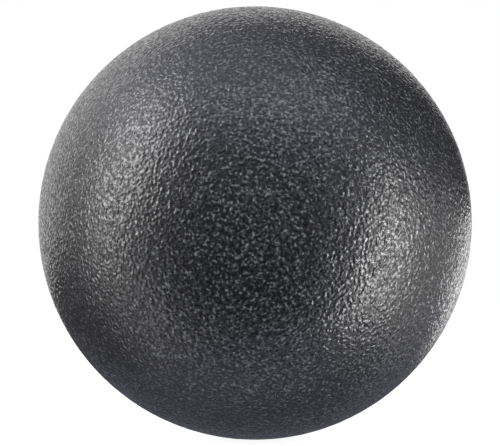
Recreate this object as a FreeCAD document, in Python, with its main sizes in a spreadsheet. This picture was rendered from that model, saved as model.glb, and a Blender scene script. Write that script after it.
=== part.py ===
import FreeCAD, Part
import math
import os
import re
import Sketcher

# A weight-biased lawn bowl: a round ball that curves as it slows, because its weight is off centre.
# The origin is the ball's centre. The bias axis, about which the bowl spins as it rolls, is Y.
# The plain side faces -Y, the bias side faces +Y, and the bowl rolls on the circle at Y = 0.
# Two rubber cups close over a solid core. Under a plug disc at the +Y pole, a screw holds a brass
# weight and its trim washers at the bottom of a counterbore in the core.
# Every piece is turned about the bias axis. Its own origin is where it seats on that axis.

SIZES = {
    "ball_diameter": 120,
    "cover_thickness": 5,
    "lip_thickness": 2.5,
    "lip_length": 4,
    "disc_diameter": 30,
    "disc_clearance": 0.2,
    "disc_seat": 52.5,
    "spigot_length": 4,
    "spigot_clearance": 0.1,
    "spigot_bore": 13,
    "spigot_bore_depth": 5,
    "seal_groove_width": 1.9,
    "seal_groove_rise": 0.9,
    "seal_section": 1.5,
    "ring_first_radius": 9.6,
    "ring_pitch": 1.8,
    "ring_width": 0.6,
    "ring_depth": 0.5,
    "counterbore_diameter": 24,
    "counterbore_floor": 42,
    "insert_diameter": 8,
    "insert_length": 10,
    "insert_groove_width": 1.5,
    "insert_groove_depth": 0.6,
    "screw_diameter": 4,
    "screw_length": 14,
    "head_diameter": 8,
    "head_height": 2.4,
    "head_edge": 0.6,
    "recess_width": 1.1,
    "recess_span": 4.4,
    "recess_depth": 1.5,
    "hole_clearance": 0.25,
    "weight_diameter": 23.4,
    "weight_thickness": 4,
    "weight_chamfer": 0.5,
    "washer_diameter": 20,
    "washer_thickness": 0.8,
    "lock_diameter": 7,
    "lock_thickness": 0.9,
    "lock_gap_angle": 12,
}
RINGS = 3
WASHERS = 2
RECESS_ARMS = 4

# Lengths that several pieces share, in the words of the sheet.
BALL = "ball_diameter / 2"
CORE = "ball_diameter / 2 - cover_thickness"
LIP = "ball_diameter / 2 - cover_thickness + lip_thickness"
OPENING = "disc_diameter / 2 + disc_clearance"
DISC_FACE = "sqrt((ball_diameter / 2)^2 - (disc_diameter / 2)^2)"
HOLE = "screw_diameter / 2 + hole_clearance"
WEIGHT_TOP = "counterbore_floor + weight_thickness"
LOCK_SEAT = f"{WEIGHT_TOP} + {WASHERS} * washer_thickness"
HEAD_TOP = f"{LOCK_SEAT} + lock_thickness + head_height"
GROOVE_FLOOR = "counterbore_diameter / 2 - seal_section"
CROSS_SECTION = "XY_Plane"
ACROSS_AXIS = "XZ_Plane"
AXIS_TO_Y = FreeCAD.Rotation(FreeCAD.Vector(1, 0, 0), -90)

doc = FreeCAD.newDocument("lawn_bowl")
sheet = doc.addObject("Spreadsheet::Sheet", "sizes")
for row, (word, number) in enumerate(SIZES.items(), start=1):
    sheet.set(f"A{row}", word)
    sheet.set(f"B{row}", str(number))
    sheet.setAlias(f"B{row}", word)
doc.recompute()


def cells(text):
    """The expression in which each word of the sheet is its cell."""
    return re.sub(r"[a-z_]+", lambda found: ("sizes." if found[0] in SIZES else "") + found[0], text)


def value(text):
    return float(sheet.evalExpression(cells(text)))


def arc_below(radius, across):
    """How far along the axis a circle about the centre is, at this distance from the axis."""
    return f"sqrt(({radius})^2 - ({across})^2)"


def new_body(label, seat):
    body = doc.addObject("PartDesign::Body", label)
    body.Label = label
    if seat != "0":
        body.setExpression("Placement.Base.y", cells(seat))
    return body


def new_sketch(body, name, plane):
    sketch = body.newObject("Sketcher::SketchObject", name)
    faces = [face for face in body.Origin.OriginFeatures if face.Role == plane]
    sketch.AttachmentSupport = [(faces[0], "")]
    sketch.MapMode = "FlatFace"
    return sketch


def pin_corner(sketch, edge, end, across, along):
    """Bind a corner's two coordinates, measured from the sketch's origin, to the sheet."""
    for kind, axis, text in (("DistanceX", -2, across), ("DistanceY", -1, along)):
        length = value(text)
        if abs(length) < 1e-9:
            sketch.addConstraint(Sketcher.Constraint("PointOnObject", edge, end, axis))
            continue
        points = (-1, 1, edge, end) if length > 0 else (edge, end, -1, 1)
        number = sketch.addConstraint(Sketcher.Constraint(kind, *points, abs(length)))
        sketch.setExpression(f"Constraints[{number}]", cells(text if length > 0 else f"-({text})"))


def draw_outline(sketch, corners, arcs=None):
    """A closed outline. arcs gives the radius of each edge that is a circle about the origin."""
    places = [FreeCAD.Vector(value(across), value(along), 0) for across, along in corners]
    ends = []
    for number, (start, end) in enumerate(zip(places, places[1:] + places[:1])):
        if number not in (arcs or {}):
            edge = sketch.addGeometry(Part.LineSegment(start, end))
            ends.append((edge, 1, 2))
            continue
        radius = value(arcs[number])
        circle = Part.Circle(FreeCAD.Vector(), FreeCAD.Vector(0, 0, 1), radius)
        first, last = math.atan2(start.y, start.x), math.atan2(end.y, end.x)
        edge = sketch.addGeometry(Part.ArcOfCircle(circle, min(first, last), max(first, last)))
        ends.append((edge, 1, 2) if first < last else (edge, 2, 1))
        bound = sketch.addConstraint(Sketcher.Constraint("Radius", edge, radius))
        sketch.setExpression(f"Constraints[{bound}]", cells(arcs[number]))
    for (edge, _, end), (after, start, _) in zip(ends, ends[1:] + ends[:1]):
        sketch.addConstraint(Sketcher.Constraint("Coincident", edge, end, after, start))
    for (edge, start, _), (across, along) in zip(ends, corners):
        pin_corner(sketch, edge, start, across, along)


def turned(label, corners, arcs=None, seat="0"):
    """A piece turned about the bias axis from its half cross-section."""
    body = new_body(label, seat)
    section = new_sketch(body, f"{label}_section", CROSS_SECTION)
    draw_outline(section, corners, arcs)
    turn = body.newObject("PartDesign::Revolution", f"{label}_turn")
    turn.Profile = section
    turn.ReferenceAxis = (section, ["V_Axis"])
    turn.Angle = 360
    doc.recompute()
    return body


def ring(inner, outer, low, high):
    """The half cross-section of a ring between two radii and two heights."""
    return [(inner, low), (outer, low), (outer, high), (inner, high)]


def cut_rings(body, rings):
    """Turn grooves into a piece, each a ring's half cross-section."""
    whole = body.Shape.Volume
    section = new_sketch(body, f"{body.Label}_grooves", CROSS_SECTION)
    for corners in rings:
        draw_outline(section, corners)
    groove = body.newObject("PartDesign::Groove", f"{body.Label}_groove")
    groove.Profile = section
    groove.ReferenceAxis = (section, ["V_Axis"])
    groove.Angle = 360
    doc.recompute()
    if body.Shape.Volume > whole - 1:
        raise SystemExit(f"the grooves of {body.Label} cut nothing")


def make_cover_plain_side():
    """The cup on the plain side, closed at its pole, with a lip that nests in the other cup."""
    lip_end = arc_below(CORE, "lip_length")
    corners = [
        ("0", f"-({BALL})"),
        (BALL, "0"),
        (LIP, "0"),
        (LIP, "lip_length"),
        (lip_end, "lip_length"),
        ("0", f"-({CORE})"),
    ]
    return turned("cover_plain_side", corners, {0: BALL, 4: CORE})


def make_cover_bias_side():
    """The cup on the bias side, rebated for the lip, with an opening at its pole for the disc."""
    lip_end = arc_below(CORE, "lip_length")
    corners = [
        (BALL, "0"),
        (OPENING, arc_below(BALL, OPENING)),
        (OPENING, arc_below(CORE, OPENING)),
        (lip_end, "lip_length"),
        (LIP, "lip_length"),
        (LIP, "0"),
    ]
    return turned("cover_bias_side", corners, {0: BALL, 2: CORE})


def make_core():
    """The solid ball inside, spot-faced for the disc, counterbored and drilled for the insert."""
    corners = [
        ("0", f"-({CORE})"),
        (OPENING, arc_below(CORE, OPENING)),
        (OPENING, "disc_seat"),
        ("counterbore_diameter / 2", "disc_seat"),
        ("counterbore_diameter / 2", "counterbore_floor"),
        ("insert_diameter / 2", "counterbore_floor"),
        ("insert_diameter / 2", "counterbore_floor - insert_length"),
        ("0", "counterbore_floor - insert_length"),
    ]
    return turned("core", corners, {0: CORE})


def make_threaded_insert():
    """The brass bush that the screw goes into, grooved outside to key it in the core."""
    outer = "insert_diameter / 2"
    body = turned(
        "threaded_insert",
        ring("screw_diameter / 2", outer, "-insert_length", "0"),
        seat="counterbore_floor",
    )
    grooves = []
    for third in (1, 2):
        low = f"-insert_length * {third} / 3 - insert_groove_width / 2"
        grooves.append(ring(f"{outer} - insert_groove_depth", outer, low, f"{low} + insert_groove_width"))
    cut_rings(body, grooves)
    return body


def make_bias_weight():
    """The brass weight on the counterbore's floor, its corners chamfered."""
    outer = "weight_diameter / 2"
    corners = [
        (HOLE, "0"),
        (f"{outer} - weight_chamfer", "0"),
        (outer, "weight_chamfer"),
        (outer, "weight_thickness - weight_chamfer"),
        (f"{outer} - weight_chamfer", "weight_thickness"),
        (HOLE, "weight_thickness"),
    ]
    return turned("bias_weight", corners, seat="counterbore_floor")


def make_trim_washers():
    """Thin brass washers, added or left out to bring the bowl to its tested bias."""
    washers = []
    for number in range(WASHERS):
        washers.append(
            turned(
                f"trim_washer_{number + 1}",
                ring(HOLE, "washer_diameter / 2", "0", "washer_thickness"),
                seat=f"{WEIGHT_TOP} + {number} * washer_thickness",
            )
        )
    stack = doc.addObject("Part::Compound", "trim_washers")
    stack.Label = "trim_washers"
    stack.Links = washers
    return stack


def make_lock_washer():
    """The split ring under the screw's head."""
    body = turned(
        "lock_washer",
        ring("screw_diameter / 2", "lock_diameter / 2", "0", "lock_thickness"),
        seat=LOCK_SEAT,
    )
    body.Tip.setExpression("Angle", cells("360 - lock_gap_angle"))
    return body


def make_weight_screw():
    """The pan-head screw that holds the stack down. Its own origin is the top of its head."""
    corners = [
        ("0", "0"),
        ("head_diameter / 2 - head_edge", "0"),
        ("head_diameter / 2", "-head_edge"),
        ("head_diameter / 2", "-head_height"),
        ("screw_diameter / 2", "-head_height"),
        ("screw_diameter / 2", "-head_height - screw_length"),
        ("0", "-head_height - screw_length"),
    ]
    body = turned("weight_screw", corners, seat=HEAD_TOP)
    whole = body.Shape.Volume
    arm = new_sketch(body, "recess_arm", ACROSS_AXIS)
    draw_outline(arm, ring("0", "recess_span / 2", "-recess_width / 2", "recess_width / 2"))
    recess = body.newObject("PartDesign::Pocket", "recess")
    recess.Profile = arm
    recess.Reversed = True
    recess.setExpression("Length", cells("recess_depth"))
    doc.recompute()
    cross = body.newObject("PartDesign::PolarPattern", "recess_cross")
    cross.Originals = [recess]
    cross.Axis = (arm, ["N_Axis"])
    cross.Angle = 360
    cross.Occurrences = RECESS_ARMS
    body.Tip = cross
    doc.recompute()
    if body.Shape.Volume > whole - 1:
        raise SystemExit("the screw's recess cuts nothing")
    return body


def make_disc_seal():
    """The O-ring in the disc's groove, which keeps water out and holds the disc in by friction."""
    seal = doc.addObject("Part::Torus", "disc_seal")
    seal.Label = "disc_seal"
    seal.setExpression("Radius1", cells("counterbore_diameter / 2 - seal_section / 2"))
    seal.setExpression("Radius2", cells("seal_section / 2"))
    seal.Placement = FreeCAD.Placement(FreeCAD.Vector(), AXIS_TO_Y)
    middle = "disc_seat - spigot_length + seal_groove_rise + seal_groove_width / 2"
    seal.setExpression("Placement.Base.y", cells(middle))
    return seal


def make_bias_disc():
    """The plug at the pole of the bias side: a flat face with turned rings, over a hollow spigot."""
    face = f"{DISC_FACE} - disc_seat"
    spigot = "counterbore_diameter / 2 - spigot_clearance"
    corners = [
        ("0", "spigot_bore_depth - spigot_length"),
        ("spigot_bore / 2", "spigot_bore_depth - spigot_length"),
        ("spigot_bore / 2", "-spigot_length"),
        (spigot, "-spigot_length"),
        (spigot, "0"),
        ("disc_diameter / 2", "0"),
        ("disc_diameter / 2", face),
        ("0", face),
    ]
    body = turned("bias_disc", corners, seat="disc_seat")
    low = "seal_groove_rise - spigot_length"
    grooves = [ring(GROOVE_FLOOR, spigot, low, f"{low} + seal_groove_width")]
    for number in range(RINGS):
        inner = f"ring_first_radius + {number} * ring_pitch"
        grooves.append(ring(inner, f"{inner} + ring_width", f"{face} - ring_depth", face))
    cut_rings(body, grooves)
    return body


nodes = [
    make_cover_plain_side(),
    make_cover_bias_side(),
    make_core(),
    make_threaded_insert(),
    make_bias_weight(),
    make_trim_washers(),
    make_lock_washer(),
    make_weight_screw(),
    make_disc_seal(),
    make_bias_disc(),
]
doc.recompute()

for item in doc.Objects:
    if {"Invalid", "Error"} & set(item.State):
        raise SystemExit(f"{item.Label} did not recompute: {item.State}")
for node in nodes:
    if node.Shape.isNull() or not node.Shape.isValid():
        raise SystemExit(f"{node.Label} has no valid shape")

os.makedirs("parts", exist_ok=True)
for node in nodes:
    node.Shape.exportStep(f"parts/{node.Label}.step")
    box = node.Shape.BoundBox
    along = f"Y {box.YMin:.2f} to {box.YMax:.2f}"
    print(f"{node.Label}: {len(node.Shape.Solids)} solid, {node.Shape.Volume:.0f} mm3, {along}")
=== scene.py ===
import math

import bmesh
import bpy
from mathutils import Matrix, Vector, noise


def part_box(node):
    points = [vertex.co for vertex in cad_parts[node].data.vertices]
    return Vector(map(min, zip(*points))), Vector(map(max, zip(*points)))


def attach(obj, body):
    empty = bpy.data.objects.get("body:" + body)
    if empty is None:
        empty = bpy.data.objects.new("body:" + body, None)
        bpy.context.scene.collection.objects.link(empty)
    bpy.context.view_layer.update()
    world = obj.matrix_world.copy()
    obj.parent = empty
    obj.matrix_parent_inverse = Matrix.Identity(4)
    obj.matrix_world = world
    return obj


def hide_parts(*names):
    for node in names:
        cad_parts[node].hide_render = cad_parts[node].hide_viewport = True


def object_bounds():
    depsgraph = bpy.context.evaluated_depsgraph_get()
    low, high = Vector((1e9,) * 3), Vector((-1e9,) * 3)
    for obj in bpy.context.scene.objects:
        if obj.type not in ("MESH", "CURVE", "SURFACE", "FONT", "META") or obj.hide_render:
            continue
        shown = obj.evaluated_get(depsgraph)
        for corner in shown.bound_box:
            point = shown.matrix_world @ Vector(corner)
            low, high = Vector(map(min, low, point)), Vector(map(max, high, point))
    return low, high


# The looks of a weight-biased lawn bowl: two rubber cups with a pebble grain over a solid core, and a
# plug disc on the bias side. The ball's centre is the origin and the bias axis is Y. The plain side
# faces -Y, towards the camera. Lengths are in metres.

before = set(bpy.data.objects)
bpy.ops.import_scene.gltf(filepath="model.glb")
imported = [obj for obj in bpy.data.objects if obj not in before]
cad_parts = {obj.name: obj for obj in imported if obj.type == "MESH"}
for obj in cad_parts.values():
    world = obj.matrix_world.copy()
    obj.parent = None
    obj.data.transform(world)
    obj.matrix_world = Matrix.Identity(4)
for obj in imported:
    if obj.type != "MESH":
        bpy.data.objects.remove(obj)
cad_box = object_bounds()

MM = 0.001
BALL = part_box("cover_plain_side")[1].x
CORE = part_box("core")[1].x
LIP_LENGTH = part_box("cover_plain_side")[1].y
LIP = CORE + (BALL - CORE) / 2
DISC_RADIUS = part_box("bias_disc")[1].x
DISC_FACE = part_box("bias_disc")[1].y
OPENING = DISC_RADIUS + 0.2 * MM

# The plug disc: a hollow spigot that holds the seal, under a face with three turned rings.
SPIGOT_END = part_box("bias_disc")[0].y
SPIGOT_RADIUS = 11.9 * MM
SPIGOT_BORE = 6.5 * MM
SPIGOT_BORE_END = SPIGOT_END + 5 * MM
SEAL_GROOVE = (SPIGOT_END + 0.9 * MM, SPIGOT_END + 2.8 * MM)
SEAL_GROOVE_RADIUS = 10.5 * MM
DISC_SEAT = SPIGOT_END + 4 * MM
RING_RADII = [9.6 * MM, 11.4 * MM, 13.2 * MM]
RING_WIDTH = 0.6 * MM
RING_DEPTH = 0.5 * MM
DISC_POINTS = 180
DISC_EASE = 0.12 * MM

# The skin's mesh: how far apart its points are, outside and on the hidden inside, how its edges are
# eased, and from what angle an edge is sharp. The grain stops at the plain margin.
SKIN_STEP = 0.523 * MM
INSIDE_POINTS = 96
SEAM_EASE = 0.25 * MM
PLAIN_MARGIN = 0.9 * MM
EASE_SHOULDER = 0.3 * SEAM_EASE
INSIDE_STEP = 5 * MM
SHARP_ANGLE = math.radians(50)

# The grain, as relief in the mesh: a slow swell that dips below the ball's true radius.
SWELL = 2 * MM
SWELL_DEPTH = 0.1 * MM

# The finer grain, in the rubber's material: bumps, and specks that are smoother at the top. The specks'
# colour is painted light: painted shade, nearly black, in their pits, and painted glints, pale, at their
# tops.
BUMPS = 0.8 * MM
BUMPS_DEPTH = 0.36 * MM
SPECKS = 0.63 * MM
SPECKS_BAND = (0.18, 0.48)
# Painted shade in the speck pits and painted glints at their tops, with a middle step between.
PIT_PAINTED_SHADE = (0.001, 0.001, 0.001)
MIDDLE = 0.31
MIDDLE_COLOUR = (0.08, 0.08, 0.083)
TOP_PAINTED_GLINT = (0.36, 0.36, 0.37)
GLOSS_BAND = (0.18, 0.3)
PIT_ROUGHNESS = 0.46
TOP_ROUGHNESS = 0.16
SECOND_NOISE = 1.3

# The gloss of the rubber and the disc. The index is higher than a real rubber's, which is about 1.5, so
# that the gloss rises less steeply towards the rim. Seen from the side, the rim mirrors the lamps behind
# the bowl, and at 1.5 it is lost against the white there. At this index a short stretch is still faint.
GLOSS_INDEX = 2.1

# The room. Most of the light is a little warm from the sides and behind, and cool from above and below.
FLOOR_FADE = 0.3
FLOOR_END = 0.9
FLOOR_GLOW = 0.9
SURROUND = 0.12
LIGHT_DISTANCE = 1.0
WARM = (1, 0.99, 0.98)
CLEAR = (0.9, 0.93, 1)
COOL = (0.76, 0.77, 1)

# The camera. The ball's outline fills this share of the picture's width on each side of its centre,
# which is a little right of the middle of the picture.
OUTLINE_SHARE = 0.4338
OFF_CENTRE = 0.0102
LENS = 135.0
SENSOR = 36.0


# Meshes


class Turned:
    """A closed mesh made of rings of points about the bias axis, each joined to the ring before it."""

    def __init__(self):
        self.points = []
        self.faces = []
        self.rings = []

    def ring(self, across, along, count, relief=None):
        """Points at one distance from the axis. Every other ring is turned by half a step."""
        shift = 0.5 * (len(self.rings) % 2)
        start = len(self.points)
        for number in range(count if across > 0 else 1):
            turn = math.tau * (number + shift) / count
            point = Vector((across * math.cos(turn), along, across * math.sin(turn)))
            if relief:
                point += point.normalized() * relief(point)
            self.points.append(point)
        self.rings.append((range(start, len(self.points)), shift))
        if len(self.rings) > 1:
            self.join(self.rings[-2], self.rings[-1])

    def join(self, first, second):
        """Triangles between two rings that may differ in their number of points."""
        (a, a_shift), (b, b_shift) = first, second
        a_steps = len(a) if len(a) > 1 else 0
        b_steps = len(b) if len(b) > 1 else 0
        i = j = 0
        while i < a_steps or j < b_steps:
            a_next = (i + 1 + a_shift) / len(a)
            b_next = (j + 1 + b_shift) / len(b)
            if j == b_steps or (i < a_steps and a_next <= b_next):
                self.faces.append((a[i % len(a)], a[(i + 1) % len(a)], b[j % len(b)]))
                i += 1
            else:
                self.faces.append((a[i % len(a)], b[(j + 1) % len(b)], b[j % len(b)]))
                j += 1

    def close(self):
        """Join the last ring to the first, for a piece with a hole through it."""
        self.join(self.rings[-1], self.rings[0])

    def build(self, name, sharp_angle):
        mesh = bpy.data.meshes.new(name)
        mesh.from_pydata(self.points, [], self.faces)
        work = bmesh.new()
        work.from_mesh(mesh)
        bmesh.ops.recalc_face_normals(work, faces=work.faces)
        work.to_mesh(mesh)
        work.free()
        mesh.shade_smooth()
        mesh.set_sharp_from_angle(angle=sharp_angle)
        piece = bpy.data.objects.new(name, mesh)
        bpy.context.scene.collection.objects.link(piece)
        return piece


def sphere_rings(turned, radius, start, end, step, relief=None, inside=False):
    """Rings on a ball, from one angle off the +Y pole to another, both included."""
    spans = max(1, round(abs(end - start) * radius / step))
    for number in range(spans + 1):
        angle = start + (end - start) * number / spans
        across = radius * math.sin(angle) if 1e-9 < angle < math.pi - 1e-9 else 0
        count = INSIDE_POINTS if inside else max(6, round(math.tau * across / SKIN_STEP))
        turned.ring(across, radius * math.cos(angle), count, relief)


def grain(point):
    """How far the skin dips below the ball's true radius, as a negative number, at this point."""
    seam_margin = abs(point.y) / PLAIN_MARGIN
    opening_margin = 1.0 if point.y < 0 else (math.hypot(point.x, point.z) - OPENING) / PLAIN_MARGIN
    fade = max(0.0, min(1.0, seam_margin, opening_margin))
    place = point / SWELL
    swell = noise.noise(place)
    ripple = noise.noise(place * 1.4 + Vector((7.3, 1.9, 4.1)))
    return -SWELL_DEPTH * fade * max(0.0, 0.5 - 0.5 * (swell + 0.5 * ripple))


def make_cover_plain_side():
    cover = Turned()
    ring_step = SKIN_STEP * math.sqrt(3) / 2
    seam_points = round(math.tau * BALL / SKIN_STEP)
    sphere_rings(cover, BALL, math.pi, math.pi / 2 + SEAM_EASE / BALL, ring_step, grain)
    cover.ring(BALL - EASE_SHOULDER, -EASE_SHOULDER, seam_points)
    cover.ring(BALL - SEAM_EASE, 0, seam_points)
    cover.ring(LIP, 0, INSIDE_POINTS)
    cover.ring(LIP, LIP_LENGTH, INSIDE_POINTS)
    lip_end = math.acos(LIP_LENGTH / CORE)
    sphere_rings(cover, CORE, lip_end, math.pi, INSIDE_STEP, inside=True)
    return cover.build("plain_side_cup", SHARP_ANGLE)


def make_cover_bias_side():
    cover = Turned()
    ring_step = SKIN_STEP * math.sqrt(3) / 2
    seam_points = round(math.tau * BALL / SKIN_STEP)
    opening_points = round(math.tau * OPENING / SKIN_STEP)
    cover.ring(LIP, 0, INSIDE_POINTS)
    cover.ring(BALL - SEAM_EASE, 0, seam_points)
    cover.ring(BALL - EASE_SHOULDER, EASE_SHOULDER, seam_points)
    rim = math.asin((OPENING + SEAM_EASE) / BALL)
    sphere_rings(cover, BALL, math.pi / 2 - SEAM_EASE / BALL, rim, ring_step, grain)
    top = math.sqrt(BALL**2 - OPENING**2)
    cover.ring(OPENING + EASE_SHOULDER, top - EASE_SHOULDER, opening_points)
    cover.ring(OPENING, top - SEAM_EASE, opening_points)
    wall_end = math.asin(OPENING / CORE)
    sphere_rings(cover, CORE, wall_end, math.acos(LIP_LENGTH / CORE), INSIDE_STEP, inside=True)
    cover.ring(LIP, LIP_LENGTH, INSIDE_POINTS)
    cover.close()
    return cover.build("bias_side_cup", SHARP_ANGLE)


def eased(corners, ease):
    """The same outline with each corner but the first and last cut back to a small round."""
    points = [corners[0]]
    for before, corner, after in zip(corners, corners[1:], corners[2:]):
        corner = Vector(corner)
        start = corner + (Vector(before) - corner).normalized() * ease
        end = corner + (Vector(after) - corner).normalized() * ease
        for share in (0, 0.25, 0.5, 0.75, 1):
            points.append(start.lerp(corner, share).lerp(corner.lerp(end, share), share))
    return points + [corners[-1]]


def make_plug_disc():
    """The disc at the bias pole, with its spigot. Its edges are eased, as a lathe tool leaves them."""
    corners = [
        (0, SPIGOT_BORE_END),
        (SPIGOT_BORE, SPIGOT_BORE_END),
        (SPIGOT_BORE, SPIGOT_END),
        (SPIGOT_RADIUS, SPIGOT_END),
        (SPIGOT_RADIUS, SEAL_GROOVE[0]),
        (SEAL_GROOVE_RADIUS, SEAL_GROOVE[0]),
        (SEAL_GROOVE_RADIUS, SEAL_GROOVE[1]),
        (SPIGOT_RADIUS, SEAL_GROOVE[1]),
        (SPIGOT_RADIUS, DISC_SEAT),
        (DISC_RADIUS, DISC_SEAT),
        (DISC_RADIUS, DISC_FACE),
    ]
    for inner in reversed(RING_RADII):
        outer = inner + RING_WIDTH
        floor = DISC_FACE - RING_DEPTH
        corners += [(outer, DISC_FACE), (outer, floor), (inner, floor), (inner, DISC_FACE)]
    corners.append((0, DISC_FACE))
    disc = Turned()
    for across, along in eased(corners, DISC_EASE):
        disc.ring(across, along, DISC_POINTS)
    piece = disc.build("plug_disc", SHARP_ANGLE)
    piece.modifiers.new("flat_faces", "WEIGHTED_NORMAL")
    return piece


# Materials


def new_material(name):
    """A node material. Returns it with its nodes, its links and its shader."""
    material = bpy.data.materials.new(name)
    material.use_nodes = True
    tree = material.node_tree
    return material, tree.nodes, tree.links, tree.nodes["Principled BSDF"]


def noise_node(nodes, links, period, detail=2.0, roughness=0.5):
    """Noise through the piece, its main wave about this long."""
    place = nodes.new("ShaderNodeTexCoord")
    field = nodes.new("ShaderNodeTexNoise")
    field.inputs["Scale"].default_value = 1 / period
    field.inputs["Detail"].default_value = detail
    field.inputs["Roughness"].default_value = roughness
    links.new(place.outputs["Object"], field.inputs["Vector"])
    return field.outputs["Fac"]


def crossed_noise(nodes, links, period, detail=0.0):
    """Two noises of nearly the same period, multiplied, so that the high places stand apart as dots."""
    cross = nodes.new("ShaderNodeMath")
    cross.operation = "MULTIPLY"
    links.new(noise_node(nodes, links, period, detail), cross.inputs[0])
    links.new(noise_node(nodes, links, SECOND_NOISE * period, 0.0), cross.inputs[1])
    return cross.outputs["Value"]


def remap(nodes, links, source, low, high, to_low, to_high):
    """The source's band from low to high, spread to another band and held at its ends."""
    band = nodes.new("ShaderNodeMapRange")
    band.inputs["From Min"].default_value = low
    band.inputs["From Max"].default_value = high
    band.inputs["To Min"].default_value = to_low
    band.inputs["To Max"].default_value = to_high
    links.new(source, band.inputs["Value"])
    return band.outputs["Result"]


def colour_ramp(nodes, links, source, stops):
    ramp = nodes.new("ShaderNodeValToRGB")
    while len(ramp.color_ramp.elements) < len(stops):
        ramp.color_ramp.elements.new(0.5)
    for element, (place, colour) in zip(ramp.color_ramp.elements, stops):
        element.position = place
        element.color = (*colour, 1)
    links.new(source, ramp.inputs["Fac"])
    return ramp.outputs["Color"]


def add_bump(nodes, links, shader, source, depth):
    """Raise the surface by up to depth where source is 1."""
    bump = nodes.new("ShaderNodeBump")
    bump.inputs["Distance"].default_value = depth
    links.new(source, bump.inputs["Height"])
    links.new(bump.outputs["Normal"], shader.inputs["Normal"])


def make_cover_rubber():
    """Black rubber moulded with a fine grain. The pits are dull, with painted shade, and the tops
    smoother, with pale painted glints.
    """
    material, nodes, links, shader = new_material("grained_black_rubber")
    bumps = crossed_noise(nodes, links, BUMPS)
    specks = crossed_noise(nodes, links, SPECKS, 1.0)
    dark, pale = SPECKS_BAND
    # The ramp paints shade into the speck pits and glints onto the speck tops.
    painted_shade_and_glints = [(dark, PIT_PAINTED_SHADE), (MIDDLE, MIDDLE_COLOUR), (pale, TOP_PAINTED_GLINT)]
    links.new(colour_ramp(nodes, links, specks, painted_shade_and_glints), shader.inputs["Base Color"])
    dull, worn = GLOSS_BAND
    roughness = remap(nodes, links, specks, dull, worn, PIT_ROUGHNESS, TOP_ROUGHNESS)
    links.new(roughness, shader.inputs["Roughness"])
    shader.inputs["IOR"].default_value = GLOSS_INDEX
    add_bump(nodes, links, shader, bumps, BUMPS_DEPTH)
    return material


def make_disc_plastic():
    """Satin black plastic, a little uneven, with the fine concentric marks of turning."""
    material, nodes, links, shader = new_material("turned_black_plastic")
    mottle = noise_node(nodes, links, 4 * MM, 4.0)
    place = nodes.new("ShaderNodeTexCoord")
    marks = nodes.new("ShaderNodeTexWave")
    marks.wave_type = "RINGS"
    marks.rings_direction = "Y"
    marks.inputs["Scale"].default_value = 1 / (7 * MM)
    marks.inputs["Distortion"].default_value = 0.6
    marks.inputs["Detail"].default_value = 2.0
    links.new(place.outputs["Object"], marks.inputs["Vector"])
    links.new(
        colour_ramp(nodes, links, mottle, [(0.3, (0.011, 0.011, 0.012)), (0.7, (0.018, 0.018, 0.02))]),
        shader.inputs["Base Color"],
    )
    links.new(remap(nodes, links, mottle, 0.3, 0.7, 0.28, 0.38), shader.inputs["Roughness"])
    shader.inputs["IOR"].default_value = GLOSS_INDEX
    add_bump(nodes, links, shader, marks.outputs["Fac"], 0.02 * MM)
    return material


def make_core_composition():
    material, nodes, links, shader = new_material("moulded_composition")
    flakes = noise_node(nodes, links, 2.5 * MM, 5.0, 0.7)
    links.new(
        colour_ramp(nodes, links, flakes, [(0.35, (0.06, 0.025, 0.016)), (0.65, (0.15, 0.07, 0.045))]),
        shader.inputs["Base Color"],
    )
    links.new(remap(nodes, links, flakes, 0.3, 0.7, 0.5, 0.7), shader.inputs["Roughness"])
    add_bump(nodes, links, shader, flakes, 0.05 * MM)
    return material


def make_metal(name, dark, light, rough_low, rough_high):
    material, nodes, links, shader = new_material(name)
    shader.inputs["Metallic"].default_value = 1.0
    marks = noise_node(nodes, links, 1.5 * MM, 5.0, 0.6)
    links.new(colour_ramp(nodes, links, marks, [(0.3, dark), (0.7, light)]), shader.inputs["Base Color"])
    links.new(remap(nodes, links, marks, 0.3, 0.7, rough_low, rough_high), shader.inputs["Roughness"])
    add_bump(nodes, links, shader, marks, 0.01 * MM)
    return material


def make_seal_rubber():
    material, nodes, links, shader = new_material("seal_rubber")
    bloom = noise_node(nodes, links, 1.2 * MM, 3.0)
    links.new(
        colour_ramp(nodes, links, bloom, [(0.3, (0.012, 0.012, 0.012)), (0.8, (0.03, 0.03, 0.03))]),
        shader.inputs["Base Color"],
    )
    links.new(remap(nodes, links, bloom, 0.3, 0.7, 0.5, 0.65), shader.inputs["Roughness"])
    return material


# The room


def make_floor():
    """A plain pale floor, lit from within like a light table. It fades out into the pale surroundings,
    and it throws no light back on the bowl."""
    mesh = bpy.data.meshes.new("floor")
    work = bmesh.new()
    bmesh.ops.create_circle(work, cap_ends=True, segments=64, radius=FLOOR_END)
    work.to_mesh(mesh)
    work.free()
    floor = bpy.data.objects.new("floor", mesh)
    floor.location.z = cad_box[0].z
    floor.visible_diffuse = False
    floor.visible_glossy = False
    bpy.context.scene.collection.objects.link(floor)
    material, nodes, links, shader = new_material("pale_floor")
    tone = noise_node(nodes, links, 0.4)
    painted_shade_and_glints = [(0.3, (0.8, 0.8, 0.8)), (0.7, (0.82, 0.82, 0.82))]
    links.new(colour_ramp(nodes, links, tone, painted_shade_and_glints), shader.inputs["Base Color"])
    shader.inputs["Roughness"].default_value = 0.8
    shader.inputs["Emission Color"].default_value = (1, 1, 1, 1)
    shader.inputs["Emission Strength"].default_value = FLOOR_GLOW
    place = nodes.new("ShaderNodeTexCoord")
    distance = nodes.new("ShaderNodeVectorMath")
    distance.operation = "LENGTH"
    links.new(place.outputs["Object"], distance.inputs[0])
    fade = remap(nodes, links, distance.outputs["Value"], FLOOR_FADE, FLOOR_END, 1, 0)
    links.new(fade, shader.inputs["Alpha"])
    mesh.materials.append(material)


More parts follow.
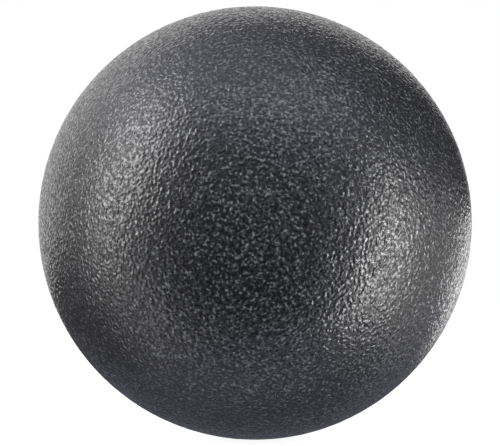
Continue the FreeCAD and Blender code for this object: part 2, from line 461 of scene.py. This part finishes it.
def make_surroundings():
    """White to the eye. In the bowl's gloss it is a dim ring at the sides, and dark past the camera."""
    world = bpy.data.worlds.new("studio")
    world.use_nodes = True
    world.cycles_visibility.diffuse = False
    bpy.context.scene.world = world
    nodes, links = world.node_tree.nodes, world.node_tree.links
    seen, lights = nodes["Background"], nodes.new("ShaderNodeBackground")
    seen.inputs["Color"].default_value = (1, 1, 1, 1)
    lights.inputs["Color"].default_value = (0.86, 0.88, 1, 1)
    place = nodes.new("ShaderNodeTexCoord")
    parts = nodes.new("ShaderNodeSeparateXYZ")
    links.new(place.outputs["Generated"], parts.inputs[0])
    past_camera = remap(nodes, links, parts.outputs["Y"], -1.0, -0.3, 0, SURROUND)
    before_back = remap(nodes, links, parts.outputs["Y"], 0.1, 0.9, 1, 0.35)
    both = nodes.new("ShaderNodeMath")
    both.operation = "MULTIPLY"
    links.new(past_camera, both.inputs[0])
    links.new(before_back, both.inputs[1])
    links.new(both.outputs[0], lights.inputs["Strength"])
    ray = nodes.new("ShaderNodeLightPath")
    mix = nodes.new("ShaderNodeMixShader")
    links.new(ray.outputs["Is Camera Ray"], mix.inputs[0])
    links.new(lights.outputs[0], mix.inputs[1])
    links.new(seen.outputs[0], mix.inputs[2])
    links.new(mix.outputs[0], nodes["World Output"].inputs["Surface"])


def soft_light(name, off_view, round_view, width, height, radiance, colour, fill=True, shine=True):
    """A flat lamp facing the bowl. off_view is its angle from the camera's direction, and round_view
    the way it leans from there: 0 is to the right and 90 is up. A lamp with no fill is only seen in
    the gloss, and one with no shine only lights the colour."""
    lamp = bpy.data.lights.new(name, "AREA")
    lamp.shape = "RECTANGLE"
    lamp.size = width
    lamp.size_y = height
    lamp.energy = radiance * math.pi * width * height
    lamp.color = colour
    off_view = math.radians(off_view)
    round_view = math.radians(round_view)
    sideways = Vector((math.cos(round_view), 0, math.sin(round_view)))
    towards = Vector((0, -1, 0)) * math.cos(off_view) + sideways * math.sin(off_view)
    light = bpy.data.objects.new(name, lamp)
    light.visible_camera = False
    light.visible_diffuse = fill
    light.visible_glossy = shine
    light.location = towards * LIGHT_DISTANCE
    light.rotation_mode = "QUATERNION"
    light.rotation_quaternion = (-towards).to_track_quat("-Z", "Y")
    bpy.context.scene.collection.objects.link(light)


def make_lights():
    """Tall lights at each side, a wide one overhead, and soft ones in front, behind and below. The
    list began as the rounded output of a least-squares fit to the brightness of a photo of the bowl,
    and most of it was then changed. left_tall, back_left and back_right keep their fitted
    places and sizes."""
    soft_light("left_tall", 83, 161, 0.38, 1.72, 1.65, WARM)
    soft_light("left_near", 73, 153, 0.4, 0.8, 1.75, WARM)
    soft_light("right_low", 72, -25, 0.28, 0.8, 3.5, WARM)
    soft_light("right_high", 72, 4, 0.28, 0.7, 2.4, WARM)
    soft_light("right_side", 88, -12, 0.3, 1.0, 0.8, WARM)
    soft_light("overhead", 80, 96, 2.6, 1.2, 0.45, COOL, fill=False)
    soft_light("overhead_near", 69, 70, 1.2, 0.5, 0.22, COOL, fill=False)
    soft_light("by_camera", 1, 90, 0.5, 0.5, 0.16, CLEAR)
    soft_light("front", 20, 25, 1.4, 1.0, 1.45, CLEAR, shine=False)
    soft_light("below", 85, -92, 1.6, 0.8, 0.28, COOL, fill=False)
    soft_light("below_left", 78, -140, 0.5, 0.6, 0.46, WARM, fill=False)
    soft_light("back_left", 150, 135, 1.8, 1.1, 0.95, WARM)
    soft_light("back_right", 146, -14, 0.5, 0.3, 2, WARM)
    soft_light("back_side", 115, -18, 0.3, 1.0, 0.6, WARM, fill=False)
    soft_light("back_below", 142, -80, 1.6, 0.8, 0.2, COOL, fill=False)


def make_camera():
    """Level with the ball's centre, looking along the bias axis, so that the plain side fills the view."""
    half_angle = math.atan(OUTLINE_SHARE * SENSOR / LENS)
    camera_data = bpy.data.cameras.new("camera")
    camera_data.lens = LENS
    camera_data.sensor_width = SENSOR
    camera_data.shift_x = -OFF_CENTRE
    camera_data.clip_start = 0.01
    camera = bpy.data.objects.new("camera", camera_data)
    camera.location = (0, -BALL / math.sin(half_angle), 0)
    camera.rotation_euler = (math.radians(90), 0, 0)
    bpy.context.scene.collection.objects.link(camera)
    bpy.context.scene.camera = camera


def dress(piece, node, material):
    """Let a new piece stand for a CAD node, with the material that it is seen in."""
    piece.data.materials.append(material)
    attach(piece, "root")
    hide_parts(node)


cover_rubber = make_cover_rubber()
dress(make_cover_plain_side(), "cover_plain_side", cover_rubber)
dress(make_cover_bias_side(), "cover_bias_side", cover_rubber)
dress(make_plug_disc(), "bias_disc", make_disc_plastic())

brass = make_metal("turned_brass", (0.5, 0.33, 0.12), (0.72, 0.52, 0.24), 0.22, 0.36)
steel = make_metal("plated_steel", (0.42, 0.42, 0.42), (0.62, 0.62, 0.63), 0.25, 0.4)
finishes = {
    "core": make_core_composition(),
    "threaded_insert": brass,
    "bias_weight": brass,
    "trim_washers": brass,
    "lock_washer": steel,
    "weight_screw": steel,
    "disc_seal": make_seal_rubber(),
}
for node, material in finishes.items():
    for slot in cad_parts[node].material_slots:
        slot.material = material

make_floor()
make_surroundings()
make_lights()
make_camera()
bpy.context.scene.view_settings.view_transform = "Standard"
